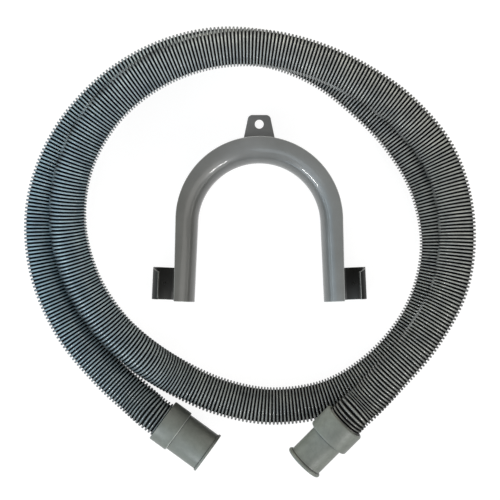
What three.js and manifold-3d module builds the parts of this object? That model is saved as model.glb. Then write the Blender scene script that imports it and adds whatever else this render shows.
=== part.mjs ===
// A washing machine drain hose, laid down in a loose loop of almost two turns.
//
// A corrugated hose runs between two moulded end cuffs. The large cuff pushes over the
// machine's outlet and the small one over the waste spigot. Inside the loop lies the crook,
// a moulded half pipe that holds the hose in a bend over the edge of a sink or standpipe.
//
// Millimetres, +Z up, lying on the plane z = 0.

import * as THREE from 'three';
import { mergeVertices } from 'three/addons/utils/BufferGeometryUtils.js';
import Module from 'manifold-3d';

const wasm = await Module();
wasm.setup();

// The hose
const hoseDiameter = 25; // over the crests of the corrugation
const hoseBore = 20;
const hoseSides = 12;
const hoseSteps = 80;

// Clearances
const seatGap = 0.3; // between the hose and the cuff that it is pushed into
const restGap = 0.5; // between one turn and the next that lies on it

// Where things lie, in plan
const coilCentre = { x: 0.6, y: 17.2 };
const crookPlace = { x: 6.1, y: 0.3 }; // from the coil's centre to the centre of the crook's bend

// The large end cuff. Its seat is where the hose enters, from the coil's centre.
const largeCuff = {
  seat: { x: -57.5, y: -128.2 },
  heading: -36.2, // degrees from +X to the way that the mouth faces
  tilt: 0, // degrees that the mouth points down
  bore: 22,
  collarDiameter: 29.7,
  collarLength: 13.1,
  socketDepth: 10,
  nozzleDiameter: 27.2,
  length: 37.2,
  rimDiameter: 28.9,
  rimThickness: 1.5,
  rimRounding: 0.3,
};

// The small end cuff. Its collar lies against the turn beneath it, a little to one side.
const smallCuff = {
  seat: { x: 62.3, y: -128.7 },
  heading: -134.8,
  tilt: 9,
  sideStep: 18.6, // in plan, from the middle of the turn beneath to the collar
  bore: 19,
  collarDiameter: 29.8,
  collarLength: 16.2,
  socketDepth: 12,
  nozzleDiameter: 23.7,
  length: 39.6,
  rimDiameter: 26.8,
  rimThickness: 2.4,
  rimRounding: 1,
};

const cuffChamfer = 0.7; // on the outer edges of both collars
const mouthChamfer = 0.5; // round both bores, at the mouth
const cuffSides = 40;

// The crook
const crookBend = 54.4; // radius of the bend, at the axis of the hose that lies in it
const crookWall = 1.6;
const crookClearance = 0.15; // between the hose and the crook's wall
const topLip = 3.6; // how far the half pipe's lips stand past the hose axis, at the top
const sideLip = 0.6; // the same, where the bend meets the legs
const legLength = 50.4; // from the centre of the bend
const legFlare = 2.6; // degrees that each leg leans out
const rimFlare = 1.3; // degrees that the rim of each leg leans out
const troughSteps = 48;
const arcSteps = 6; // two facets a step on each half circle of a section
const rimSteps = 24;

// The clip at the end of each leg
const clipLength = 21.3;
const clipSetBack = 0.7; // from the leg's end
const clipWall = 1.2;
const clipReach = 42; // degrees that the clip's lip rises past the hose axis
const clipRoot = 8; // degrees of the clip that lie within the back wall
const clipSteps = 9;
const lipCorner = 3; // cut off the lip's upper corner
const gripWidth = 3.2;
const gripHeight = 1;
const gripAngle = -60; // from level, on the back side
const gripSides = 8;

// The ear that the crook hangs by
const earHeight = 14.4; // above the top of the rim
const earFoot = 20.2; // width where it leaves the rim
const earHead = 15.4; // width at its rounded corners
const earCorner = 3.2;
const earFillet = 1.2; // where its sides run out into the rim
const earThickness = 1.3;
const earHole = 5.9;
const earHoleDrop = 6.1; // from the ear's top to the middle of the hole
const earRoot = 2; // of the ear within the back wall
const earSteps = 8;

const cutOverrun = 0.2; // share by which a cut runs past both ends of its slant
const weldDistance = 1e-4;

const cuffMaterial = { color: 0x6b706c, roughness: 0.5, metalness: 0 };
const hoseMaterial = { color: 0x5d6466, roughness: 0.45, metalness: 0 };
const crookMaterial = { color: 0x6c706c, roughness: 0.4, metalness: 0 };

// The route of the hose from the large cuff to the small one, as degrees round the coil's
// centre, distance from it, and lift above the surface as a share of the hose's diameter.
const lowerTurn = [
  [237, 136.5, 0.03], [226, 134.4, 0.005], [210, 135.1, 0], [192, 136.5, 0], [174, 136, 0],
  [156, 132.5, 0], [138, 128.1, 0], [120, 124.1, 0], [102, 120.4, 0], [84, 116.3, 0],
  [66, 112.8, 0], [48, 110.6, 0], [30, 113.6, 0], [12, 119.5, 0], [-7, 125, 0],
  [-26, 127, 0], [-45, 126.5, 0], [-64, 125, 0], [-83, 120, 0.002],
];
const upperTurn = [
  [-100, 114.5, 0.01], [-117, 111, 0.09], [-131, 111, 0.4], [-145, 112.9, 0.56],
  [-162, 116, 0.66], [-180, 119.3, 0.78], [-198, 120.9, 0.9], [-217, 120.4, 0.96],
  [-236, 118.5, 0.99], [-255, 116.9, 1], [-274, 115.9, 1], [-292, 115.9, 0.995],
  [-308, 118.6, 0.96], [-323, 124.2, 0.89], [-340, 131.5, 0.83], [-358, 135.1, 0.88],
  [-376, 137, 0.92], [-393, 135, 0.96], [-408, 135, 0.95], [-418, 139, 0.85],
];
const straightLead = 8; // of hose that leaves each collar straight

const radians = THREE.MathUtils.degToRad;
const hoseRadius = hoseDiameter / 2;

function named(name, geometry, material) {
  const mesh = new THREE.Mesh(geometry, new THREE.MeshStandardMaterial(material));
  mesh.name = name;
  return mesh;
}

// Joining and cutting

function toSolid(geometry) {
  const bare = geometry.clone();
  bare.deleteAttribute('normal');
  bare.deleteAttribute('uv');
  const merged = mergeVertices(bare, weldDistance);
  const mesh = new wasm.Mesh({
    numProp: 3,
    vertProperties: new Float32Array(merged.attributes.position.array),
    triVerts: new Uint32Array(merged.index.array),
  });
  return new wasm.Manifold(mesh);
}

function toGeometry(solid) {
  const mesh = solid.getMesh();
  const geometry = new THREE.BufferGeometry();
  geometry.setAttribute('position', new THREE.BufferAttribute(mesh.vertProperties, 3));
  geometry.setIndex(new THREE.BufferAttribute(mesh.triVerts, 1));
  geometry.computeVertexNormals();
  return geometry;
}

function prism(shape, depth, curveSegments) {
  return new THREE.ExtrudeGeometry(shape, { depth, curveSegments, bevelEnabled: false });
}

// Where the hose goes

// The large cuff lies on the surface. The small one lies against the turn beneath it.
function seatHeight(cuff) {
  if (cuff === largeCuff) return cuff.collarDiameter / 2;
  const apart = hoseRadius + cuff.collarDiameter / 2 + restGap;
  return hoseRadius + Math.sqrt(apart ** 2 - cuff.sideStep ** 2);
}

function mouthDirection(cuff) {
  const level = Math.cos(radians(cuff.tilt));
  const x = Math.cos(radians(cuff.heading)) * level;
  const y = Math.sin(radians(cuff.heading)) * level;
  return new THREE.Vector3(x, y, -Math.sin(radians(cuff.tilt)));
}

function alongCuff(cuff, distance) {
  const seat = new THREE.Vector3(cuff.seat.x, cuff.seat.y, seatHeight(cuff));
  return seat.addScaledVector(mouthDirection(cuff), distance);
}

function routePoint([angle, radius, lift]) {
  const x = radius * Math.cos(radians(angle));
  const y = radius * Math.sin(radians(angle));
  return new THREE.Vector3(x, y, hoseRadius + lift * (hoseDiameter + restGap));
}

function endPoints(cuff) {
  return [cuff.socketDepth, 0, -straightLead].map((distance) => alongCuff(cuff, distance));
}

function hoseRoute() {
  const turns = [...lowerTurn, ...upperTurn].map(routePoint);
  const points = [...endPoints(largeCuff), ...turns, ...endPoints(smallCuff).reverse()];
  return new THREE.CatmullRomCurve3(points, false, 'centripetal');
}

// The pieces

function regularSection(diameter, sides) {
  const corners = [];
  for (let i = 0; i < sides; i += 1) {
    const angle = (i / sides) * 2 * Math.PI;
    const x = (diameter / 2) * Math.cos(angle);
    corners.push(new THREE.Vector2(x, (diameter / 2) * Math.sin(angle)));
  }
  return corners;
}

function corrugatedHose() {
  const section = new THREE.Shape(regularSection(hoseDiameter, hoseSides));
  section.holes.push(new THREE.Path(regularSection(hoseBore, hoseSides).reverse()));
  const geometry = new THREE.ExtrudeGeometry(section, {
    extrudePath: hoseRoute(),
    steps: hoseSteps,
    bevelEnabled: false,
  });
  return named('corrugated_hose', geometry, hoseMaterial);
}

// A cuff is turned from one closed profile: a collar with the hose's socket, a narrower
// nozzle, and a rim round the mouth. Distances run from the hose's side to the mouth.
function cuffProfile(cuff) {
  const bore = cuff.bore / 2;
  const socket = hoseRadius + seatGap;
  const socketEnd = cuff.socketDepth + seatGap;
  const collar = cuff.collarDiameter / 2;
  const nozzle = cuff.nozzleDiameter / 2;
  const rim = cuff.rimDiameter / 2;
  const rimStart = cuff.length - cuff.rimThickness;
  const points = [
    [socket, 0],
    [collar - cuffChamfer, 0],
    [collar, cuffChamfer],
    [collar, cuff.collarLength - cuffChamfer],
    [collar - cuffChamfer, cuff.collarLength],
    [nozzle, cuff.collarLength],
    [nozzle, rimStart],
    [rim - cuff.rimRounding, rimStart],
    [rim, rimStart + cuff.rimRounding],
    [rim, cuff.length - cuff.rimRounding],
    [rim - cuff.rimRounding, cuff.length],
    [bore + mouthChamfer, cuff.length],
    [bore, cuff.length - mouthChamfer],
    [bore, socketEnd],
    [socket, socketEnd],
    [socket, 0],
  ];
  return points.map(([radius, distance]) => new THREE.Vector2(radius, distance));
}

function endCuff(name, cuff) {
  const mesh = named(name, new THREE.LatheGeometry(cuffProfile(cuff), cuffSides), cuffMaterial);
  const lathe = new THREE.Vector3(0, 1, 0);
  mesh.quaternion.setFromUnitVectors(lathe, mouthDirection(cuff));
  mesh.position.copy(alongCuff(cuff, 0));
  return mesh;
}

// The crook is drawn round the centre of its bend, with its legs pointing along -Y and its
// back on z = 0. The axis of the hose that it holds runs one outer radius above its back.
const troughInner = hoseRadius + crookClearance;
const troughOuter = troughInner + crookWall;

function legEnd(side) {
  const start = new THREE.Vector3(
    side * crookBend * Math.cos(radians(legFlare)),
    crookBend * Math.sin(radians(legFlare)),
    troughOuter,
  );
  const run = (legLength + start.y) / Math.cos(radians(legFlare));
  return start.addScaledVector(legDirection(side), run);
}

function legDirection(side) {
  return new THREE.Vector3(side * Math.sin(radians(legFlare)), -Math.cos(radians(legFlare)), 0);
}

class BendArc extends THREE.Curve {
  getPoint(t, target = new THREE.Vector3()) {
    const angle = radians(THREE.MathUtils.lerp(180 - legFlare, legFlare, t));
    return target.set(crookBend * Math.cos(angle), crookBend * Math.sin(angle), troughOuter);
  }
}

function troughPath() {
  const bend = new BendArc();
  const path = new THREE.CurvePath();
  path.add(new THREE.LineCurve3(legEnd(-1), bend.getPoint(0)));
  path.add(bend);
  path.add(new THREE.LineCurve3(bend.getPoint(1), legEnd(1)));
  return path;
}

// Half a pipe with straight lips, open away from the bend. The shape's y points outwards, and
// its lips start too long, so that the rim's outline trims them.
function troughSection() {
  const lip = 2 * topLip;
  const section = new THREE.Shape();
  section.moveTo(troughOuter, lip);
  section.lineTo(troughOuter, 0);
  section.absarc(0, 0, troughOuter, 0, -Math.PI, true);
  section.lineTo(-troughOuter, lip);
  section.lineTo(-troughInner, lip);
  section.lineTo(-troughInner, 0);
  section.absarc(0, 0, troughInner, -Math.PI, 0, false);
  section.lineTo(troughInner, lip);
  section.closePath();
  return section;
}

const rimTop = crookBend + topLip;
const rimRadius = crookBend + sideLip;
const rimCentre = rimTop - rimRadius;

// What the rim of the half pipe is trimmed to, seen from the front
function rimOutline() {
  const below = -legLength - clipLength;
  const spread = rimRadius + (rimCentre - below) * Math.tan(radians(rimFlare));
  const outline = new THREE.Shape();
  outline.moveTo(-spread, below);
  outline.lineTo(-rimRadius, rimCentre);
  outline.absarc(0, rimCentre, rimRadius, Math.PI, 0, true);
  outline.lineTo(spread, below);
  outline.closePath();
  return outline;
}

function trough() {
  const sweep = new THREE.ExtrudeGeometry(troughSection(), {
    extrudePath: troughPath(),
    steps: troughSteps,
    curveSegments: arcSteps,
    bevelEnabled: false,
  });
  const trim = prism(rimOutline(), 4 * troughOuter, rimSteps);
  trim.translate(0, 0, -troughOuter);
  return toSolid(sweep).intersect(toSolid(trim));
}

// A clip carries the back wall on round the outside of the hose. Its section's x points
// outwards and its y up, and its length runs up the left leg or down the right one.
function clip(side) {
  const outwards = new THREE.Vector3(
    side * Math.cos(radians(legFlare)),
    Math.sin(radians(legFlare)),
    0,
  );
  const up = new THREE.Vector3(0, 0, 1);
  const along = outwards.clone().cross(up);
  const frame = new THREE.Matrix4().makeBasis(outwards, up, along);
  const fromEnd = side < 0 ? clipSetBack : clipSetBack + clipLength;
  frame.setPosition(legEnd(side).addScaledVector(legDirection(side), -fromEnd));

  const upperEnd = side < 0 ? clipLength : 0;
  const band = toSolid(prism(clipSection(), clipLength, clipSteps)).subtract(lipCut(upperEnd, -side));
  return toSolid(toGeometry(band.add(grip())).applyMatrix4(frame));
}

const clipOuter = (troughInner + troughOuter + clipWall) / 2;

function clipSection() {
  const from = radians(-90 - clipRoot);
  const to = radians(clipReach);
  const section = new THREE.Shape();
  section.absarc(0, 0, clipOuter, from, to, false);
  section.absarc(0, 0, clipOuter - clipWall, to, from, true);
  section.closePath();
  return section;
}

// The wedge that slants the corner of a lip, at the end of the clip nearer the bend
function lipCut(upperEnd, towardsBend) {
  const top = clipOuter * Math.sin(radians(clipReach));
  const past = 1 + cutOverrun;
  const start = upperEnd - past * towardsBend * lipCorner;
  const end = upperEnd + cutOverrun * towardsBend * lipCorner;
  const wedge = new THREE.Shape();
  wedge.moveTo(start, past * top);
  wedge.lineTo(end, -cutOverrun * top);
  wedge.lineTo(end, past * top);
  wedge.closePath();
  const geometry = prism(wedge, 2 * clipOuter, 1);
  geometry.rotateY(-Math.PI / 2);
  geometry.translate(2 * clipOuter, 0, 0);
  return toSolid(geometry);
}

// A small tooth inside each clip that catches between two ribs of the hose
function grip() {
  const height = gripHeight + clipWall / 2;
  const tooth = new THREE.ConeGeometry(gripWidth / 2, height, gripSides);
  tooth.rotateZ(Math.PI / 2);
  tooth.translate(clipOuter - clipWall / 2 - height / 2, 0, clipLength / 2);
  tooth.rotateZ(radians(gripAngle));
  return toSolid(tooth);
}

function ear() {
  const top = rimTop + earHeight;
  const foot = rimTop - earRoot;
  const spread = earFoot / 2 + earFillet;
  const filletBottom = rimCentre + Math.sqrt(rimRadius ** 2 - spread ** 2);
  const filletMiddle = filletBottom + earFillet;
  const plate = new THREE.Shape();
  plate.moveTo(-spread, foot);
  plate.absarc(-spread, filletMiddle, earFillet, -Math.PI / 2, 0, false);
  plate.lineTo(-earHead / 2, top - earCorner);
  plate.absarc(-earHead / 2 + earCorner, top - earCorner, earCorner, Math.PI, Math.PI / 2, true);
  plate.absarc(earHead / 2 - earCorner, top - earCorner, earCorner, Math.PI / 2, 0, true);
  plate.absarc(spread, filletMiddle, earFillet, Math.PI, 1.5 * Math.PI, false);
  plate.lineTo(spread, foot);
  plate.closePath();
  const hole = new THREE.Path();
  hole.absarc(0, top - earHoleDrop, earHole / 2, 0, 2 * Math.PI, false);
  plate.holes.push(hole);
  const geometry = prism(plate, earThickness, earSteps);
  geometry.translate(0, 0, (crookWall - earThickness) / 2);
  return toSolid(geometry);
}

function hoseCrook() {
  const solid = trough().add(clip(-1)).add(clip(1)).add(ear());
  const mesh = named('hose_crook', toGeometry(solid), crookMaterial);
  mesh.position.set(crookPlace.x, crookPlace.y, 0);
  return mesh;
}

const drainHose = new THREE.Group();
drainHose.add(corrugatedHose());
drainHose.add(endCuff('large_end_cuff', largeCuff));
drainHose.add(endCuff('small_end_cuff', smallCuff));
drainHose.add(hoseCrook());
drainHose.position.set(coilCentre.x, coilCentre.y, 0);

export default drainHose;
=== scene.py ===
import math

import bmesh
import bpy
from mathutils import Matrix, Vector


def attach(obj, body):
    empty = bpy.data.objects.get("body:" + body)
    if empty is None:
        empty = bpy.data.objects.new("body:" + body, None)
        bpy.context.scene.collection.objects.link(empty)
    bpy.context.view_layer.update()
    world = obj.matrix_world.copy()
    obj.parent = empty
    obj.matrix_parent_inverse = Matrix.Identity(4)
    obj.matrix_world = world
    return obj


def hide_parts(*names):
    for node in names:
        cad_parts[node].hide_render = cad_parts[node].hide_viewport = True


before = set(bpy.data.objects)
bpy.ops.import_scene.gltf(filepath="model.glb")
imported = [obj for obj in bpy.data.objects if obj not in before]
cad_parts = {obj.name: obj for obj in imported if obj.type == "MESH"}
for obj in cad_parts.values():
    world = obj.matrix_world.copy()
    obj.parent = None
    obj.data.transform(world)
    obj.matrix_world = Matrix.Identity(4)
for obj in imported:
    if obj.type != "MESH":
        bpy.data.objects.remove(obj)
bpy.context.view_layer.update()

# A washing machine drain hose, laid down in a loose loop of almost two turns, with the
# crook that hooks it over a sink or standpipe lying inside the loop. Metres, +Z up.

mm = 0.001
near = 0.01 * mm                          # how far off its place a point may be when picked
sharpAngle = math.radians(50)             # edges that turn more than this are rounded
plainSlot, paintedHighlightSlot, paintedShadeSlot = 0, 1, 2   # plain surfaces, edges with a painted highlight, corners and clips with painted shade


# Small helpers

def selectOnly(*pieces):
    if bpy.context.object and bpy.context.object.mode != "OBJECT":
        bpy.ops.object.mode_set(mode="OBJECT")
    bpy.ops.object.select_all(action="DESELECT")
    for piece in pieces:
        piece.select_set(True)
    bpy.context.view_layer.objects.active = pieces[0]


def named(name):
    piece = bpy.context.object
    piece.name = name
    piece.data.name = name
    return piece


def applyPlace(piece):
    selectOnly(piece)
    bpy.ops.object.transform_apply(location=True, rotation=True, scale=True)


def editMesh(piece):
    selectOnly(piece)
    bpy.ops.object.mode_set(mode="EDIT")
    bpy.ops.mesh.select_mode(type="VERT")


def objectMode():
    bpy.ops.object.mode_set(mode="OBJECT")


def selectVerts(piece, wanted):
    bpy.ops.mesh.select_all(action="DESELECT")
    mesh = bmesh.from_edit_mesh(piece.data)
    for vert in mesh.verts:
        vert.select = wanted(vert.co)
    mesh.select_flush(True)
    bmesh.update_edit_mesh(piece.data)


def applyModifier(piece, kind, **settings):
    selectOnly(piece)
    modifier = piece.modifiers.new(kind.title(), kind)
    for key, value in settings.items():
        setattr(modifier, key, value)
    bpy.ops.object.modifier_apply(modifier=modifier.name)


def cleanMesh(piece):
    editMesh(piece)
    bpy.ops.mesh.select_all(action="SELECT")
    bpy.ops.mesh.remove_doubles(threshold=near / 10)
    bpy.ops.mesh.normals_make_consistent(inside=False)
    objectMode()


def turnFaces(piece):
    editMesh(piece)
    bpy.ops.mesh.select_all(action="SELECT")
    bpy.ops.mesh.flip_normals()
    objectMode()


# Rounds a piece's sharp edges
def softened(piece, width, segments, slot=-1):
    applyModifier(
        piece, "BEVEL", width=width, segments=segments, limit_method="ANGLE",
        angle_limit=sharpAngle, material=slot)


# Empty places for the materials
def giveSlots(piece):
    for _ in range(3):
        piece.data.materials.append(None)


def joined(name, *pieces):
    selectOnly(*pieces)
    bpy.ops.object.join()
    return named(name)


def united(piece, *others):
    for other in others:
        applyModifier(piece, "BOOLEAN", operation="UNION", solver="EXACT", object=other)
        bpy.data.objects.remove(other)


def smoothed(piece, degrees):
    selectOnly(piece)
    bpy.ops.object.shade_smooth_by_angle(angle=math.radians(degrees))


def headingVector(heading, tilt=0.0):
    level = math.cos(math.radians(tilt))
    x = math.cos(math.radians(heading)) * level
    y = math.sin(math.radians(heading)) * level
    return Vector((x, y, -math.sin(math.radians(tilt))))


# Camera, straight above and far away

camera = {
    "centre": (0.6 * mm, 0.75 * mm),
    "height": 4.0,
    "width": 329.0 * mm,      # of what the picture shows
    "subject": 14 * mm,       # height at which it is that wide
    "sensor": 36.0,
    "nearest": 0.1,
    "farthest": 20,
}

bpy.ops.object.camera_add(location=(*camera["centre"], camera["height"]), rotation=(0, 0, 0))
cameraObject = bpy.context.object
cameraObject.name = "camera"
cameraObject.data.sensor_width = camera["sensor"]
cameraObject.data.lens = camera["sensor"] * (camera["height"] - camera["subject"]) / camera["width"]
cameraObject.data.clip_start = camera["nearest"]
cameraObject.data.clip_end = camera["farthest"]
bpy.context.scene.camera = cameraObject
bpy.context.scene.view_settings.view_transform = "Standard"
print("camera set")


# Where the hose and its cuffs lie: the same numbers as in the model

coil = {
    "centre": Vector((0.6, 17.2)) * mm,
    "diameter": 25 * mm,
    "restGap": 0.5 * mm,      # between one turn and the next that lies on it
    "straightLead": 8 * mm,
    # degrees round the centre, millimetres from it, and lift as a share of the diameter
    "route": [
        (237, 136.5, 0.03), (226, 134.4, 0.005), (210, 135.1, 0), (192, 136.5, 0), (174, 136, 0),
        (156, 132.5, 0), (138, 128.1, 0), (120, 124.1, 0), (102, 120.4, 0), (84, 116.3, 0),
        (66, 112.8, 0), (48, 110.6, 0), (30, 113.6, 0), (12, 119.5, 0), (-7, 125, 0),
        (-26, 127, 0), (-45, 126.5, 0), (-64, 125, 0), (-83, 120, 0.002),
        (-100, 114.5, 0.01), (-117, 111, 0.09), (-131, 111, 0.4), (-145, 112.9, 0.56),
        (-162, 116, 0.66), (-180, 119.3, 0.78), (-198, 120.9, 0.9), (-217, 120.4, 0.96),
        (-236, 118.5, 0.99), (-255, 116.9, 1), (-274, 115.9, 1), (-292, 115.9, 0.995),
        (-308, 118.6, 0.96), (-323, 124.2, 0.89), (-340, 131.5, 0.83), (-358, 135.1, 0.88),
        (-376, 137, 0.92), (-393, 135, 0.96), (-408, 135, 0.95), (-418, 139, 0.85),
    ],
}

largeCuff = {
    "seat": Vector((-57.5, -128.2)) * mm,
    "heading": -36.2,
    "tilt": 0.0,
    "bore": 22 * mm,
    "collarDiameter": 29.7 * mm,
    "collarLength": 13.1 * mm,
    "socketDepth": 10 * mm,
    "nozzleDiameter": 27.2 * mm,
    "length": 37.2 * mm,
    "rimDiameter": 28.9 * mm,
    "rimThickness": 1.5 * mm,
    "backRounding": 0.8 * mm,     # of the collar, on the hose's side
    "frontRounding": 0.6 * mm,    # of the collar, on the nozzle's side
    "frontSlot": paintedHighlightSlot,
    "stepFillet": 0.25 * mm,
    "rimFillet": 0.5 * mm,
    "rimRounding": 0.35 * mm,
    # painted light and shade across it: share of the way, and what its colour is multiplied by
    "paintedShades": [(0.2, 0.79), (0.5, 0.73), (0.64, 0.60), (0.77, 0.41), (0.9, 0.31)],
}

smallCuff = {
    "seat": Vector((62.3, -128.7)) * mm,
    "heading": -134.8,
    "tilt": 9.0,
    "sideStep": 18.6 * mm,
    "bore": 19 * mm,
    "collarDiameter": 29.8 * mm,
    "collarLength": 16.2 * mm,
    "socketDepth": 12 * mm,
    "nozzleDiameter": 23.7 * mm,
    "length": 39.6 * mm,
    "rimDiameter": 26.8 * mm,
    "rimThickness": 2.4 * mm,
    "backRounding": 1.2 * mm,
    "frontRounding": 1.3 * mm,
    "frontSlot": plainSlot,
    "stepFillet": 0.6 * mm,
    "rimFillet": 0.6 * mm,
    "rimRounding": 1.1 * mm,
    "paintedShades": [
        (0.17, 1.0), (0.27, 0.95), (0.37, 0.84), (0.55, 0.69), (0.67, 0.72), (0.8, 0.88),
    ],
}


def seatHeight(cuff):
    if "sideStep" not in cuff:
        return cuff["collarDiameter"] / 2
    apart = coil["diameter"] / 2 + cuff["collarDiameter"] / 2 + coil["restGap"]
    return coil["diameter"] / 2 + math.sqrt(apart ** 2 - cuff["sideStep"] ** 2)


def alongCuff(cuff, distance):
    seat = (coil["centre"] + cuff["seat"]).to_3d()
    seat.z = seatHeight(cuff)
    return seat + headingVector(cuff["heading"], cuff["tilt"]) * distance


def routePoint(angle, radius, lift):
    place = coil["centre"].to_3d() + headingVector(angle) * radius * mm
    place.z = coil["diameter"] / 2 + lift * (coil["diameter"] + coil["restGap"])
    return place


def endPoints(cuff):
    return [alongCuff(cuff, d) for d in (cuff["socketDepth"], 0, -coil["straightLead"])]


def routePoints():
    turns = [routePoint(*point) for point in coil["route"]]
    return endPoints(largeCuff) + turns + endPoints(smallCuff)[::-1]


# The handles that make a Bezier curve run as the model's curve does between its points
def bezierPieces(points):
    ends = [2 * points[0] - points[1]] + points + [2 * points[-1] - points[-2]]
    pieces = []
    for p0, p1, p2, p3 in zip(ends, ends[1:], ends[2:], ends[3:]):
        d0, d1, d2 = ((b - a).length ** 0.5 for a, b in ((p0, p1), (p1, p2), (p2, p3)))
        t1 = ((p1 - p0) / d0 - (p2 - p0) / (d0 + d1) + (p2 - p1) / d1) * d1
        t2 = ((p2 - p1) / d1 - (p3 - p1) / (d1 + d2) + (p3 - p2) / d2) * d1
        pieces.append((p1, p1 + t1 / 3, p2 - t2 / 3, p2))
    return pieces


def sampled(pieces, steps):
    line = [pieces[0][0].copy()]
    for a, b, c, d in pieces:
        for i in range(1, steps + 1):
            t = i / steps
            s = 1 - t
            line.append(a * s ** 3 + b * 3 * s * s * t + c * 3 * s * t * t + d * t ** 3)
    return line


def lineLength(line):
    return sum((b - a).length for a, b in zip(line, line[1:]))


# Points at one spacing along a line, so that the ribs keep their pitch everywhere
def evenly(line, steps):
    pitch = lineLength(line) / steps
    points = [line[0]]
    walked = 0
    for a, b in zip(line, line[1:]):
        span = (b - a).length
        while len(points) < steps and len(points) * pitch <= walked + span:
            points.append(a.lerp(b, (len(points) * pitch - walked) / span))
        walked += span
    return points + [line[-1]]


def routeCurve(line):
    curve = bpy.data.curves.new("hoseRoute", "CURVE")
    curve.dimensions = "3D"
    points = evenly(line, hose["routeSteps"])
    spline = curve.splines.new("POLY")
    spline.points.add(len(points) - 1)
    for point, place in zip(spline.points, points):
        point.co = (*place, 1)
    route = bpy.data.objects.new("hoseRoute", curve)
    bpy.context.collection.objects.link(route)
    return route


# The hose: one rib, repeated and bent along the route

hose = {
    "ribs": 648,
    "sides": 28,
    "bore": 20 * mm,
    "boreSteps": 130,
    "curveSteps": 24,             # samples from one point of the route to the next
    "routeSteps": 600,            # even steps that the ribs are bent along
    "smoothBelow": 62,            # degrees
    # across one rib: share of the pitch, and diameter there
    "rib": [(0, 21.6), (0.37, 21.6), (0.46, 24.4), (0.69, 25.0), (0.91, 24.4), (1, 21.6)],
}


def hoseRing(name, diameter):
    bpy.ops.object.select_all(action="DESELECT")
    quarter = math.pi / 2
    bpy.ops.mesh.primitive_circle_add(
        vertices=hose["sides"], radius=diameter / 2, location=(0, 0, 0), rotation=(0, quarter, 0))
    ring = named(name)
    applyPlace(ring)
    return ring


def extrudeRings(ring, stations):
    editMesh(ring)
    bpy.ops.mesh.select_all(action="SELECT")
    for (x, size), (nextX, nextSize) in zip(stations, stations[1:]):
        bpy.ops.mesh.extrude_region_move(TRANSFORM_OT_translate={"value": (nextX - x, 0, 0)})
        ratio = nextSize / size
        bpy.ops.transform.resize(value=(1, ratio, ratio), center_override=(nextX, 0, 0))
    objectMode()


def repeated(piece, count, step):
    applyModifier(
        piece, "ARRAY", count=count, use_relative_offset=False, use_constant_offset=True,
        constant_offset_displace=(step, 0, 0), use_merge_vertices=True, merge_threshold=2 * near)


def makeHose(line, length):
    pitch = length / hose["ribs"]
    stations = [(share * pitch, size * mm) for share, size in hose["rib"]]
    outside = hoseRing("ribs", stations[0][1])
    extrudeRings(outside, stations)
    height = outside.data.attributes.new("ribHeight", "FLOAT", "POINT")
    outer = outside.data.attributes.new("outerSide", "FLOAT", "POINT")
    low, high = stations[0][1] / 2, coil["diameter"] / 2
    for vert in outside.data.vertices:
        height.data[vert.index].value = (math.hypot(vert.co.y, vert.co.z) - low) / (high - low)
        outer.data[vert.index].value = 0.5 + vert.co.y / coil["diameter"]
    repeated(outside, hose["ribs"], pitch)

    inside = hoseRing("bore", hose["bore"])
    step = length / hose["boreSteps"]
    extrudeRings(inside, [(0, hose["bore"]), (step, hose["bore"])])
    repeated(inside, hose["boreSteps"], step)

    tube = joined("hose", outside, inside)
    for end in (0, length):
        editMesh(tube)
        selectVerts(tube, lambda co: abs(co.x - end) < 2 * near)
        bpy.ops.mesh.bridge_edge_loops()
        objectMode()
    cleanMesh(tube)

    route = routeCurve(line)
    applyModifier(tube, "CURVE", object=route, deform_axis="POS_X")
    bpy.data.objects.remove(route)
    smoothed(tube, hose["smoothBelow"])
    return tube


hoseLine = sampled(bezierPieces(routePoints()), hose["curveSteps"])
hoseLength = lineLength(hoseLine)
hoseObject = makeHose(hoseLine, hoseLength)
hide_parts("corrugated_hose")
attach(hoseObject, "root")
print("hose made,", round(hoseLength, 4), "m,", len(hoseObject.data.polygons), "faces")


# The two end cuffs, turned from their profiles

cuffs = {
    "sides": 96,
    "seatGap": 0.3 * mm,
    "mouthRounding": 0.5 * mm,
    "socketRounding": 0.4 * mm,
    "smoothBelow": 40,
}


# Marks how far across its cuff a point lies, from 0 to 1, right to left as the mouth faces
def markAcross(piece, cuff):
    middle = alongCuff(cuff, 0)
    facing = headingVector(cuff["heading"], 0)
    side = Vector((-facing.y, facing.x, 0))
    across = piece.data.attributes.new("across", "FLOAT", "POINT")
    for vertex, share in zip(piece.data.vertices, across.data):
        share.value = 0.5 + (vertex.co - middle).dot(side) / cuff["collarDiameter"]


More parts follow.
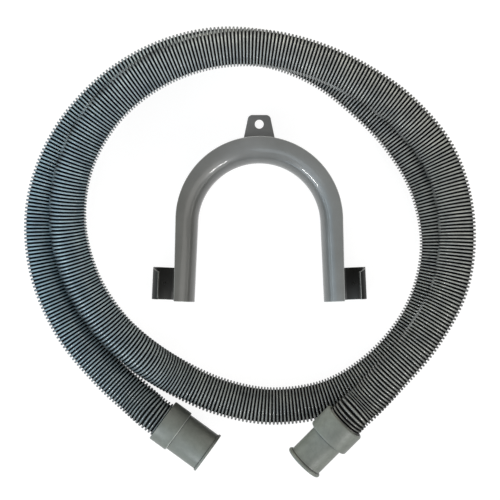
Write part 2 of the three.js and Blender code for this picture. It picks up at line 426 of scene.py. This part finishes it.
def makeCuff(name, cuff):
    socket = coil["diameter"] / 2 + cuffs["seatGap"]
    socketEnd = cuff["socketDepth"] + cuffs["seatGap"]
    collar = cuff["collarDiameter"] / 2
    nozzle = cuff["nozzleDiameter"] / 2
    rim = cuff["rimDiameter"] / 2
    bore = cuff["bore"] / 2
    rimStart = cuff["length"] - cuff["rimThickness"]
    profile = [
        (0, socket), (0, collar), (cuff["collarLength"], collar), (cuff["collarLength"], nozzle),
        (rimStart, nozzle), (rimStart, rim), (cuff["length"], rim), (cuff["length"], bore),
        (socketEnd, bore), (socketEnd, socket), (0, socket),
    ]
    bpy.ops.object.select_all(action="DESELECT")
    bpy.ops.mesh.primitive_circle_add(vertices=cuffs["sides"], radius=socket, location=(0, 0, 0))
    piece = named(name)
    giveSlots(piece)
    editMesh(piece)
    bpy.ops.mesh.select_all(action="SELECT")
    for (z, radius), (nextZ, nextRadius) in zip(profile, profile[1:]):
        bpy.ops.mesh.extrude_region_move(TRANSFORM_OT_translate={"value": (0, 0, nextZ - z)})
        ratio = nextRadius / radius
        bpy.ops.transform.resize(value=(ratio, ratio, 1), center_override=(0, 0, nextZ))
    cleanMesh(piece)
    editMesh(piece)

    def rounded(z, radius, width, segments, slot=plainSlot):
        def onEdge(co):
            return abs(co.z - z) < near and abs(math.hypot(co.x, co.y) - radius) < near

        selectVerts(piece, onEdge)
        bpy.ops.mesh.bevel(offset=width, segments=segments, affect="EDGES", material=slot)

    rounded(0, collar, cuff["backRounding"], 5)
    rounded(0, socket, cuffs["socketRounding"], 2)
    # On the large cuff the collar's front edge gets a painted highlight
    rounded(cuff["collarLength"], collar, cuff["frontRounding"], 5, cuff["frontSlot"])
    # The corners at the step and the rim get painted shade
    rounded(cuff["collarLength"], nozzle, cuff["stepFillet"], 3, paintedShadeSlot)
    rounded(rimStart, nozzle, cuff["rimFillet"], 3, paintedShadeSlot)
    rounded(rimStart, rim, cuff["rimRounding"], 5)
    rounded(cuff["length"], rim, cuff["rimRounding"], 5)
    rounded(cuff["length"], bore, cuffs["mouthRounding"], 3)
    objectMode()

    turn = Vector((0, 0, 1)).rotation_difference(headingVector(cuff["heading"], cuff["tilt"]))
    piece.rotation_mode = "QUATERNION"
    piece.rotation_quaternion = turn
    piece.location = alongCuff(cuff, 0)
    applyPlace(piece)
    smoothed(piece, cuffs["smoothBelow"])
    markAcross(piece, cuff)
    return piece


largeCuffObject = makeCuff("largeCuff", largeCuff)
smallCuffObject = makeCuff("smallCuff", smallCuff)
for piece, node in ((largeCuffObject, "large_end_cuff"), (smallCuffObject, "small_end_cuff")):
    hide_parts(node)
    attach(piece, "root")
tuple(alongCuff(largeCuff, 0))
print("cuffs made")


# The crook: a half pipe on the inside of the bend, with a clip on each leg and an ear

crook = {
    "place": (6.7 * mm, 17.5 * mm),
    "bend": 54.4 * mm,
    "wall": 1.6 * mm,
    "outside": 14.25 * mm,        # radius of the half pipe, outside
    "topLip": 3.6 * mm,
    "sideLip": 0.6 * mm,
    "legLength": 50.4 * mm,
    "legFlare": 2.6,
    "rimFlare": 1.3,
    "bendSteps": 72,
    "sectionSides": 72,
    "lipStep": 0.4 * mm,          # at least this far from the rim to the next row of points
    "edge": 0.55 * mm,            # rounding of the rim
    "smoothBelow": 32,
}

clip = {
    "length": 21.3 * mm,
    "setBack": 0.7 * mm,          # from the end of the leg
    "wall": 1.2 * mm,
    "outside": 14.05 * mm,
    "sides": 180,                 # of a whole turn, of which the clip is a part
    "reach": 42,                  # degrees above the middle of the hose
    "root": 8,                    # degrees that it runs into the half pipe
    "lipCorner": 3 * mm,
    "edge": 0.25 * mm,
    "tooth": 3.2 * mm,
    "toothTip": 0.5 * mm,
    "toothHeight": 1 * mm,
    "toothAngle": -60,
    "toothSides": 20,
    "margin": 1 * mm,             # past its ends, where its faces are still marked
    "markedFrom": 1.5 * mm,       # out from the middle of the half pipe
}

ear = {
    "height": 14.4 * mm,
    "foot": 20.2 * mm,
    "head": 15.4 * mm,
    "corner": 3.2 * mm,
    "fillet": 1.2 * mm,
    "thickness": 1.3 * mm,
    "hole": 5.9 * mm,
    "holeSides": 48,
    "holeDrop": 6.1 * mm,         # from the top of the ear
    "root": 2 * mm,               # depth to which it runs into the rim
    "edge": 0.3 * mm,
}


# A station is where a section of the half pipe stands: its centre and its outward direction
def bendStation(degrees):
    out = headingVector(degrees)
    centre = out * crook["bend"]
    centre.z = crook["outside"]
    return centre, out


def legDirection(side):
    flare = math.radians(crook["legFlare"])
    return Vector((side * math.sin(flare), -math.cos(flare), 0))


# Where the bend ends and a leg starts: side is 1 for the right leg, -1 for the left
def bendEnd(side):
    return bendStation(crook["legFlare"] if side > 0 else 180 - crook["legFlare"])


def legStation(side):
    centre, out = bendEnd(side)
    run = (crook["legLength"] + centre.y) / math.cos(math.radians(crook["legFlare"]))
    return centre + legDirection(side) * run, out


# How far the rim stands past the centre of a section, along its outward direction
def rimReach(centre, out):
    rimTop = crook["bend"] + crook["topLip"]
    radius = crook["bend"] + crook["sideLip"]
    middle = rimTop - radius
    if out.y > math.sin(math.radians(crook["legFlare"])) + 1e-6 or centre.y > middle:
        sine = out.y
        reach = middle * sine + math.sqrt(radius ** 2 - middle ** 2 * (1 - sine ** 2))
        return reach - crook["bend"]
    lean = math.tan(math.radians(crook["rimFlare"]))
    side = 1 if out.x > 0 else -1
    gap = radius + (middle - centre.y) * lean - side * centre.x
    return gap / (side * out.x + out.y * lean)


def halfPipe():
    bpy.ops.object.select_all(action="DESELECT")
    bpy.ops.mesh.primitive_circle_add(
        vertices=crook["sectionSides"], radius=crook["outside"],
        location=(crook["bend"], 0, crook["outside"]), rotation=(math.pi / 2, 0, 0))
    pipe = named("crook")
    giveSlots(pipe)
    applyPlace(pipe)
    editMesh(pipe)
    selectVerts(pipe, lambda co: co.x > crook["bend"] + near)
    bpy.ops.mesh.delete(type="VERT")
    selectVerts(pipe, lambda co: co.x > crook["bend"] - near)
    bpy.ops.mesh.extrude_vertices_move(TRANSFORM_OT_translate={"value": (crook["topLip"], 0, 0)})
    bpy.ops.mesh.select_all(action="SELECT")
    start = math.radians(crook["legFlare"])
    turn = Matrix.Rotation(start, 4, "Z")
    mesh = bmesh.from_edit_mesh(pipe.data)
    bmesh.ops.transform(mesh, matrix=turn, verts=mesh.verts)
    bmesh.update_edit_mesh(pipe.data)
    bpy.ops.mesh.spin(
        steps=crook["bendSteps"], angle=math.pi - 2 * start, center=(0, 0, 0), axis=(0, 0, -1))
    for side in (1, -1):
        centre = bendEnd(side)[0]
        end = legStation(side)[0]
        selectVerts(pipe, lambda co: inSection(co, centre, side))
        bpy.ops.mesh.extrude_region_move(TRANSFORM_OT_translate={"value": tuple(end - centre)})
    objectMode()
    trimRim(pipe)
    return pipe


# Puts the two outermost rows of points on each lip where the rim's outline has them
def trimRim(pipe):
    for vert in pipe.data.vertices:
        co = vert.co
        centre, out = sectionOf(co)
        past = (co - centre).dot(out)
        if past < -near:
            continue
        reach = rimReach(centre, out)
        past = min(0, reach - crook["lipStep"]) if past < crook["topLip"] / 2 else reach
        up = math.sqrt(crook["outside"] ** 2 - min(past, 0) ** 2)
        height = crook["outside"] + (up if co.z > crook["outside"] else -up)
        vert.co = Vector((centre.x, centre.y, 0)) + out * past
        vert.co.z = height


def inSection(co, centre, side):
    return abs((co - centre).dot(legDirection(side))) < near and co.x * side > 0


def sectionOf(co):
    for side in (1, -1):
        end, out = legStation(side)
        if inSection(co, end, side):
            return end, out
    return bendStation(math.degrees(math.atan2(co.y, co.x)))


def makeClip(side):
    end, out = legStation(side)
    along = -legDirection(side)
    corner = end + along * clip["setBack"]
    # worked in its own axes first: x outwards, y along the leg towards the bend, z up
    bpy.ops.object.select_all(action="DESELECT")
    bpy.ops.mesh.primitive_circle_add(
        vertices=clip["sides"], radius=clip["outside"], location=(0, 0, 0),
        rotation=(math.pi / 2, 0, 0))
    piece = named("clip")
    giveSlots(piece)
    applyPlace(piece)
    editMesh(piece)

    def angleOf(co):
        return math.degrees(math.atan2(co.z, co.x))

    low, high = -90 - clip["root"], clip["reach"]
    selectVerts(piece, lambda co: not low - 0.01 < angleOf(co) < high + 0.01)
    bpy.ops.mesh.delete(type="VERT")
    bpy.ops.mesh.select_all(action="SELECT")
    bpy.ops.mesh.extrude_region_move(TRANSFORM_OT_translate={"value": (0, clip["length"], 0)})
    objectMode()
    top = clip["outside"] * math.sin(math.radians(clip["reach"]))
    for vert in piece.data.vertices:
        if vert.co.y > clip["length"] / 2 and vert.co.z > 0:
            vert.co.y -= clip["lipCorner"] * vert.co.z / top
    editMesh(piece)
    bpy.ops.mesh.select_all(action="SELECT")
    bpy.ops.mesh.normals_make_consistent(inside=False)
    mesh = bmesh.from_edit_mesh(piece.data)
    mesh.faces.ensure_lookup_table()
    face = mesh.faces[0]
    middle = face.calc_center_median()
    if face.normal.dot(Vector((middle.x, 0, middle.z))) < 0:
        bpy.ops.mesh.flip_normals()
    objectMode()
    applyModifier(piece, "SOLIDIFY", thickness=clip["wall"], offset=-1, use_even_offset=True)
    # The clip's edges get a painted highlight
    softened(piece, clip["edge"], 2, paintedHighlightSlot)
    united(piece, makeTooth())
    piece.data.transform(Matrix((
        (out.x, along.x, 0, corner.x), (out.y, along.y, 0, corner.y),
        (0, 0, 1, corner.z), (0, 0, 0, 1))))
    if side < 0:
        turnFaces(piece)
    return piece


def makeTooth():
    height = clip["toothHeight"] + clip["wall"] / 2
    middle = clip["outside"] - clip["wall"] / 2 - height / 2
    angle = math.radians(clip["toothAngle"])
    out = Vector((math.cos(angle), 0, math.sin(angle)))
    bpy.ops.object.select_all(action="DESELECT")
    bpy.ops.mesh.primitive_cone_add(
        vertices=clip["toothSides"], radius1=clip["tooth"] / 2, radius2=clip["toothTip"] / 2,
        depth=height, location=out * middle + Vector((0, clip["length"] / 2, 0)))
    tooth = named("tooth")
    tooth.rotation_mode = "QUATERNION"
    tooth.rotation_quaternion = Vector((0, 0, 1)).rotation_difference(-out)
    applyPlace(tooth)
    return tooth


def arcPoints(x, y, radius, start, end, steps=8):
    angles = [start + (end - start) * i / steps for i in range(steps + 1)]
    return [Vector((x, y, 0)) + headingVector(angle) * radius for angle in angles]


def makeEar():
    rimTop = crook["bend"] + crook["topLip"]
    rimRadius = crook["bend"] + crook["sideLip"]
    top = rimTop + ear["height"]
    foot = rimTop - ear["root"]
    spread = ear["foot"] / 2 + ear["fillet"]
    filletMiddle = rimTop - rimRadius + math.sqrt(rimRadius ** 2 - spread ** 2) + ear["fillet"]
    right = [Vector((spread, foot, 0))]
    right += arcPoints(spread, filletMiddle, ear["fillet"], 270, 180)
    right += arcPoints(ear["head"] / 2 - ear["corner"], top - ear["corner"], ear["corner"], 0, 90)
    left = [Vector((-point.x, point.y, 0)) for point in reversed(right)]
    outline = right + left

    mesh = bpy.data.meshes.new("ear")
    mesh.from_pydata(outline, [], [range(len(outline))])
    plate = bpy.data.objects.new("ear", mesh)
    bpy.context.collection.objects.link(plate)
    giveSlots(plate)
    plate.location.z = (crook["wall"] - ear["thickness"]) / 2
    applyPlace(plate)
    editMesh(plate)
    bpy.ops.mesh.select_all(action="SELECT")
    bpy.ops.mesh.extrude_region_move(TRANSFORM_OT_translate={"value": (0, 0, ear["thickness"])})
    bpy.ops.mesh.select_all(action="SELECT")
    bpy.ops.mesh.normals_make_consistent(inside=False)
    objectMode()
    softened(plate, ear["edge"], 2)

    bpy.ops.object.select_all(action="DESELECT")
    bpy.ops.mesh.primitive_cylinder_add(
        vertices=ear["holeSides"], radius=ear["hole"] / 2, depth=4 * ear["thickness"],
        location=(0, top - ear["holeDrop"], 0))
    drill = named("drill")
    applyPlace(drill)
    applyModifier(plate, "BOOLEAN", operation="DIFFERENCE", solver="EXACT", object=drill)
    bpy.data.objects.remove(drill)
    return plate


# Marks the two clips: they are duller than the pipe, painted dark as shade, and painted with deeper
# shade inside between their walls
def markClips(piece):
    paintedRecessShade = piece.data.attributes.new("paintedRecessShade", "FLOAT", "POINT")
    innerWall = clip["outside"] - clip["wall"]
    for side in (1, -1):
        end, out = legStation(side)

        def acrossClip(co):
            offset = co - end
            run = -offset.dot(legDirection(side))
            inLength = -clip["margin"] < run < clip["setBack"] + clip["length"] + clip["margin"]
            past = offset.dot(out)
            return past if inLength else -1, math.hypot(past, offset.z)

        for vert in piece.data.vertices:
            past, radius = acrossClip(vert.co)
            if past > 0 and radius < innerWall + 5 * near:
                paintedRecessShade.data[vert.index].value = 1.0
        # The clips' faces get the finish that is painted dark as shade
        for face in piece.data.polygons:
            past, radius = acrossClip(face.center)
            if past > clip["markedFrom"] and face.material_index == plainSlot:
                face.material_index = paintedShadeSlot


def makeCrook():
    pipe = halfPipe()
    cleanMesh(pipe)
    face = min(pipe.data.polygons, key=lambda f: f.center.length)
    if face.normal.dot(sectionOf(face.center)[1]) > 0:
        turnFaces(pipe)
    applyModifier(pipe, "SOLIDIFY", thickness=crook["wall"], offset=-1, use_even_offset=True)
    # The rim's edges get a painted highlight
    softened(pipe, crook["edge"], 3, paintedHighlightSlot)
    united(pipe, makeClip(1), makeClip(-1), makeEar())
    markClips(pipe)
    pipe.location = (*crook["place"], 0)
    applyPlace(pipe)
    smoothed(pipe, crook["smoothBelow"])
    return pipe


crookObject = makeCrook()
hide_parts("hose_crook")
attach(crookObject, "root")
print("crook made,", len(crookObject.data.polygons), "faces")


# Finishes, and the nodes that they share

tintReach = 0.14   # metres to each side of the middle over which painted light and shade across the loop runs


def newMaterial(name):
    material = bpy.data.materials.new(name)
    material.use_nodes = True
    tree = material.node_tree
    return material, tree, tree.nodes["Principled BSDF"]


# A colour as it is, or one number for a grey
def rgba(colour):
    return (*colour, 1) if isinstance(colour, tuple) else (colour, colour, colour, 1)


def marked(tree, attribute):
    mark = tree.nodes.new("ShaderNodeAttribute")
    mark.attribute_name = attribute
    return mark.outputs["Fac"]


def noiseFrom(tree, scale, detail=3.0, roughness=0.55):
    place = tree.nodes.new("ShaderNodeTexCoord")
    noise = tree.nodes.new("ShaderNodeTexNoise")
    noise.inputs["Scale"].default_value = scale
    noise.inputs["Detail"].default_value = detail
    noise.inputs["Roughness"].default_value = roughness
    tree.links.new(place.outputs["Object"], noise.inputs["Vector"])
    return noise.outputs["Fac"]


def rampOver(tree, share, stops):
    ramp = tree.nodes.new("ShaderNodeValToRGB")
    elements = ramp.color_ramp.elements
    elements[0].position, elements[0].color = stops[0][0], rgba(stops[0][1])
    elements[1].position, elements[1].color = stops[-1][0], rgba(stops[-1][1])
    for position, colour in stops[1:-1]:
        elements.new(position).color = rgba(colour)
    tree.links.new(share, ramp.inputs["Fac"])
    return ramp.outputs["Color"]


def multiplied(tree, first, second):
    mix = tree.nodes.new("ShaderNodeMix")
    mix.data_type = "RGBA"
    mix.blend_type = "MULTIPLY"
    mix.inputs["Factor"].default_value = 1
    tree.links.new(first, mix.inputs[6])
    tree.links.new(second, mix.inputs[7])
    return mix.outputs[2]


# Multiplies by a ramp over a share; across the loop, a cuff or the hose this paints light and shade
# into the colour, and on the hose it also shapes the coat
def scaledByRamp(tree, source, share, stops):
    return multiplied(tree, source, rampOver(tree, share, stops))


def mapped(tree, source, fromMin=0.0, fromMax=1.0, toMin=0.0, toMax=1.0):
    span = tree.nodes.new("ShaderNodeMapRange")
    span.inputs["From Min"].default_value = fromMin
    span.inputs["From Max"].default_value = fromMax
    span.inputs["To Min"].default_value = toMin
    span.inputs["To Max"].default_value = toMax
    tree.links.new(source, span.inputs["Value"])
    return span.outputs["Result"]


def acrossLoop(tree, axis):
    place = tree.nodes.new("ShaderNodeTexCoord")
    parts = tree.nodes.new("ShaderNodeSeparateXYZ")
    tree.links.new(place.outputs["Object"], parts.inputs["Vector"])
    return mapped(tree, parts.outputs[axis], fromMin=-tintReach, fromMax=tintReach)


# The surface's fine grain, as bump
def grained(tree, shader, scale, detail, strength, depth):
    bump = tree.nodes.new("ShaderNodeBump")
    bump.inputs["Strength"].default_value = strength
    bump.inputs["Distance"].default_value = depth
    tree.links.new(noiseFrom(tree, scale, detail), bump.inputs["Height"])
    tree.links.new(bump.outputs["Normal"], shader.inputs["Normal"])


def roughnessAround(tree, shader, source, middle, spread):
    roughness = mapped(tree, source, toMin=middle - spread, toMax=middle + spread)
    tree.links.new(roughness, shader.inputs["Roughness"])


# Stops are a share of the way and the colour there, or what the colour is multiplied by
hoseFinish = {
    # The grooves are painted near black, a painted shade between the ribs; the crest colour is the
    # plastic's own
    "grooveToCrest": [(0.55, (0.006, 0.007, 0.008)), (0.97, (0.50, 0.51, 0.505))],
    "mottle": 90,                 # scale of the patches of wear
    "wear": [(0.3, (0.7, 0.72, 0.74)), (0.7, (1.15, 1.15, 1.12))],
    # Painted light and shade across the hose: dark at both sides where it turns away, lighter
    # towards its outer side
    "innerToOuter": [
        (0, 0.15), (0.08, 0.62), (0.18, 0.82), (0.5, 0.75), (0.7, 0.80), (0.84, 1.0),
        (0.92, 0.72), (1, 0.15),
    ],
    # Painted light: bluish on the left of the loop, darker towards the right
    "leftToRight": [
        (0, (0.60, 0.84, 1.0)), (0.4, (0.93, 0.97, 0.98)), (0.65, (0.93, 0.93, 0.91)),
        (1, (0.80, 0.80, 0.77)),
    ],
    # Painted shade: darker towards the near side of the loop
    "nearToFar": [(0.05, (0.31, 0.30, 0.28)), (0.2, (0.72, 0.72, 0.70)), (0.5, 0.93), (1, 1.0)],
    "roughFrom": 0.4,             # share of the rib's height where it starts to get smoother
    "grooveRoughness": 0.9,
    "crestRoughness": 0.5,
    "coatFrom": 0.75,             # share of the rib's height where its coat starts
    "coatAcross": [(0, 0.0), (0.08, 1.0), (0.92, 1.0), (1, 0.0)],
    "coatRoughness": 0.22,
    "specular": 0.1,
    "grain": (2500, 2, 0.15, 0.05 * mm),      # scale, detail, strength and depth
}


def hosePlastic():
    values = hoseFinish
    material, tree, shader = newMaterial("hosePlastic")
    height = marked(tree, "ribHeight")
    outerSide = marked(tree, "outerSide")
    # The grooves get painted shade
    ribs = rampOver(tree, height, values["grooveToCrest"])
    wear = rampOver(tree, noiseFrom(tree, values["mottle"]), values["wear"])
    # Painted light and shade across the hose and across the loop
    colour = scaledByRamp(tree, multiplied(tree, ribs, wear), outerSide, values["innerToOuter"])
    colour = scaledByRamp(tree, colour, acrossLoop(tree, "X"), values["leftToRight"])
    colour = scaledByRamp(tree, colour, acrossLoop(tree, "Y"), values["nearToFar"])
    tree.links.new(colour, shader.inputs["Base Color"])
    grained(tree, shader, *values["grain"])
    shader.inputs["Specular IOR Level"].default_value = values["specular"]
    roughness = mapped(
        tree, height, fromMin=values["roughFrom"], toMin=values["grooveRoughness"],
        toMax=values["crestRoughness"])
    tree.links.new(roughness, shader.inputs["Roughness"])
    gloss = mapped(tree, height, fromMin=values["coatFrom"])
    coat = scaledByRamp(tree, gloss, outerSide, values["coatAcross"])
    tree.links.new(coat, shader.inputs["Coat Weight"])
    shader.inputs["Coat Roughness"].default_value = values["coatRoughness"]
    return material


cuffFinish = {
    "cuff": {
        "darkToLight": [(0.25, (0.120, 0.131, 0.112)), (0.75, (0.206, 0.221, 0.192))],
        "roughness": 0.45,
    },
    # A painted highlight on the collar's front edge
    "cuffPaintedHighlight": {
        "darkToLight": [(0.25, (0.30, 0.32, 0.29)), (0.75, (0.42, 0.44, 0.40))],
        "roughness": 0.38,
    },
    # Painted shade in the corners at the step and the rim
    "cuffPaintedShade": {
        "darkToLight": [(0.25, (0.02, 0.022, 0.02)), (0.75, (0.05, 0.055, 0.048))],
        "roughness": 0.6,
    },
    "cloud": (170, 8, 0.75),      # scale, detail and roughness of its noise
    "roughnessSpread": 0.07,
    "grain": (1800, 3, 0.2, 0.06 * mm),
}


def cuffRubber(name, paintedShades):
    values = cuffFinish[name]
    material, tree, shader = newMaterial(name + "Rubber")
    cloud = noiseFrom(tree, *cuffFinish["cloud"])
    colour = rampOver(tree, cloud, values["darkToLight"])
    # Painted light and shade across the cuff
    colour = scaledByRamp(tree, colour, marked(tree, "across"), paintedShades)
    tree.links.new(colour, shader.inputs["Base Color"])
    grained(tree, shader, *cuffFinish["grain"])
    roughnessAround(tree, shader, cloud, values["roughness"], cuffFinish["roughnessSpread"])
    return material


crookFinish = {
    "crook": {
        "darkToLight": [(0.3, (0.150, 0.155, 0.147)), (0.7, (0.196, 0.202, 0.196))],
        "roughness": 0.34,
        "specular": 0.5,
        "coat": 0.4,
    },
    # A painted highlight on the rims and the clips' edges
    "crookPaintedHighlight": {
        "darkToLight": [(0.3, (0.34, 0.35, 0.34)), (0.7, (0.48, 0.49, 0.48))],
        "roughness": 0.34,
        "specular": 0.5,
        "coat": 0.4,
    },
    # The clips' dark colour is painted shade; they are also less glossy
    "clip": {
        "darkToLight": [(0.3, (0.033, 0.035, 0.033)), (0.7, (0.052, 0.055, 0.052))],
        "roughness": 0.5,
        "specular": 0.22,
        "coat": 0.0,
    },
    # Painted shade: the crook darker towards the left of the loop
    "leftToRight": [(0.3, (0.44, 0.42, 0.37)), (0.45, (0.90, 0.89, 0.90)), (0.75, 1.0)],
    # Painted shade: the right clip darker than the left
    "leftToRightClip": [(0.4, 1.0), (0.6, 0.3)],
    # Painted light: the ear lighter than the bend
    "bendToEar": [(0.77, 0.76), (0.785, 1.0)],
    # The colour of the painted shade inside the clips
    "paintedRecessShade": (0.02, 0.02, 0.019),
    "recessShade": 0.85,          # how far the painted shade takes the insides of the clips towards that colour
    "coatRoughness": 0.04,
    "cloud": 45,                  # scale of its noise
    "roughnessSpread": 0.05,
    "grain": (900, 2, 0.08, 0.05 * mm),
}


def crookPlastic(name):
    values = crookFinish[name]
    material, tree, shader = newMaterial(name + "Plastic")
    cloud = noiseFrom(tree, crookFinish["cloud"])
    tints = crookFinish["leftToRightClip" if name == "clip" else "leftToRight"]
    colour = rampOver(tree, cloud, values["darkToLight"])
    # Painted light and shade across the loop and towards the ear
    colour = scaledByRamp(tree, colour, acrossLoop(tree, "X"), tints)
    colour = scaledByRamp(tree, colour, acrossLoop(tree, "Y"), crookFinish["bendToEar"])
    # Painted shade inside the clips
    dark = tree.nodes.new("ShaderNodeMix")
    dark.data_type = "RGBA"
    dark.inputs[7].default_value = rgba(crookFinish["paintedRecessShade"])
    shade = mapped(tree, marked(tree, "paintedRecessShade"), toMax=crookFinish["recessShade"])
    tree.links.new(shade, dark.inputs["Factor"])
    tree.links.new(colour, dark.inputs[6])
    tree.links.new(dark.outputs[2], shader.inputs["Base Color"])
    grained(tree, shader, *crookFinish["grain"])
    roughnessAround(tree, shader, cloud, values["roughness"], crookFinish["roughnessSpread"])
    shader.inputs["Specular IOR Level"].default_value = values["specular"]
    shader.inputs["Coat Weight"].default_value = values["coat"]
    shader.inputs["Coat Roughness"].default_value = crookFinish["coatRoughness"]
    return material


def dressed(piece, *materials):
    for i, material in enumerate(materials):
        if i < len(piece.data.materials):
            piece.data.materials[i] = material
        else:
            piece.data.materials.append(material)


dressed(hoseObject, hosePlastic())
for piece, cuff in ((largeCuffObject, largeCuff), (smallCuffObject, smallCuff)):
    names = ("cuff", "cuffPaintedHighlight", "cuffPaintedShade")
    dressed(piece, *[cuffRubber(name, cuff["paintedShades"]) for name in names])
dressed(crookObject, *[crookPlastic(name) for name in ("crook", "crookPaintedHighlight", "clip")])
print("materials made")


# Floor, backdrop and lamps

studio = {
    "floorSize": 6.0,
    "floorColour": (0.20, 0.20, 0.20),
    "floorRoughness": 0.9,
    "floorSpecular": 0.1,
    "floorGlow": 0.9,             # added where the camera looks, so that the floor shows white
    "zenith": 0.64,               # strength of the sky straight above
    "zenithFrom": 0.9,            # how high the direction points from where it is full
    "horizon": 0.05,
    "horizonTo": 0.3,
    "lamps": [
        # name, place, watts, width, height, colour
        ("window", (-0.35, -0.72, 0.95), 2.3, 0.9, 0.4, (0.80, 0.91, 1.0)),
        ("rightSide", (0.80, -0.45, 0.85), 2.5, 0.9, 0.6, (1.0, 0.98, 0.93)),
        ("farSide", (-0.10, 0.66, 0.52), 2.4, 0.7, 0.3, (1.0, 0.97, 0.88)),
        ("nearLeft", (-0.62, -0.30, 0.42), 0.8, 0.7, 0.35, (0.40, 0.72, 1.0)),
        ("leftStrip", (-0.75, -0.02, 0.36), 0.35, 0.5, 0.03, (0.75, 0.90, 1.0)),
        ("farStrip", (-0.10, 0.95, 0.18), 3.0, 1.2, 0.10, (1.0, 0.95, 0.80)),
        ("nearLeftStrip", (-0.75, -0.50, 0.17), 1.1, 1.2, 0.10, (0.55, 0.80, 1.0)),
        ("nearRightStrip", (0.75, -0.50, 0.17), 0.9, 1.0, 0.10, (1.0, 1.0, 0.95)),
        ("lowerLeft", (-0.75, -0.68, 0.365), 4.0, 0.36, 0.04, (1, 1, 1)),
        ("lowerRight", (0.60, -0.80, 0.53), 3.4, 0.30, 0.04, (1, 1, 1)),
    ],
}


# The second shader for what the camera sees, also in a reflection or through glass, and the
# first for all other light
def whiteForCamera(tree, plain, white):
    path = tree.nodes.new("ShaderNodeLightPath")
    seen = path.outputs["Is Camera Ray"]
    for ray in ("Is Glossy Ray", "Is Transmission Ray"):
        either = tree.nodes.new("ShaderNodeMath")
        either.operation = "MAXIMUM"
        tree.links.new(seen, either.inputs[0])
        tree.links.new(path.outputs[ray], either.inputs[1])
        seen = either.outputs["Value"]
    mix = tree.nodes.new("ShaderNodeMixShader")
    tree.links.new(seen, mix.inputs["Fac"])
    tree.links.new(plain, mix.inputs[1])
    tree.links.new(white, mix.inputs[2])
    return mix.outputs["Shader"]


def makeFloor():
    bpy.ops.object.select_all(action="DESELECT")
    bpy.ops.mesh.primitive_plane_add(size=studio["floorSize"], location=(0, 0, 0))
    floor = named("floor")
    material, tree, shader = newMaterial("floorPaper")
    shader.inputs["Base Color"].default_value = rgba(studio["floorColour"])
    shader.inputs["Roughness"].default_value = studio["floorRoughness"]
    shader.inputs["Specular IOR Level"].default_value = studio["floorSpecular"]
    glow = tree.nodes.new("ShaderNodeEmission")
    glow.inputs["Strength"].default_value = studio["floorGlow"]
    both = tree.nodes.new("ShaderNodeAddShader")
    tree.links.new(shader.outputs["BSDF"], both.inputs[0])
    tree.links.new(glow.outputs["Emission"], both.inputs[1])
    surface = whiteForCamera(tree, shader.outputs["BSDF"], both.outputs["Shader"])
    tree.links.new(surface, tree.nodes["Material Output"].inputs["Surface"])
    dressed(floor, material)


def makeWorld():
    world = bpy.data.worlds.new("studio")
    bpy.context.scene.world = world
    world.use_nodes = True
    tree = world.node_tree
    sky = tree.nodes["Background"]
    sky.inputs["Color"].default_value = rgba(1.0)
    direction = tree.nodes.new("ShaderNodeTexCoord")
    parts = tree.nodes.new("ShaderNodeSeparateXYZ")
    tree.links.new(direction.outputs["Generated"], parts.inputs["Vector"])
    strength = mapped(
        tree, parts.outputs["Z"], fromMin=studio["horizonTo"], fromMax=studio["zenithFrom"],
        toMin=studio["horizon"], toMax=studio["zenith"])
    tree.links.new(strength, sky.inputs["Strength"])
    white = tree.nodes.new("ShaderNodeBackground")
    white.inputs["Color"].default_value = rgba(1.0)
    white.inputs["Strength"].default_value = 1
    surface = whiteForCamera(tree, sky.outputs["Background"], white.outputs["Background"])
    tree.links.new(surface, tree.nodes["World Output"].inputs["Surface"])


def makeLamps():
    for name, place, watts, width, height, colour in studio["lamps"]:
        bpy.ops.object.light_add(type="AREA", location=place)
        lamp = bpy.context.object
        lamp.name = name
        lamp.data.shape = "RECTANGLE"
        lamp.data.size = width
        lamp.data.size_y = height
        lamp.data.energy = watts
        lamp.data.color = colour
        lamp.rotation_euler = (-Vector(place)).to_track_quat("-Z", "Y").to_euler()


makeFloor()
makeWorld()
makeLamps()
print("studio made")
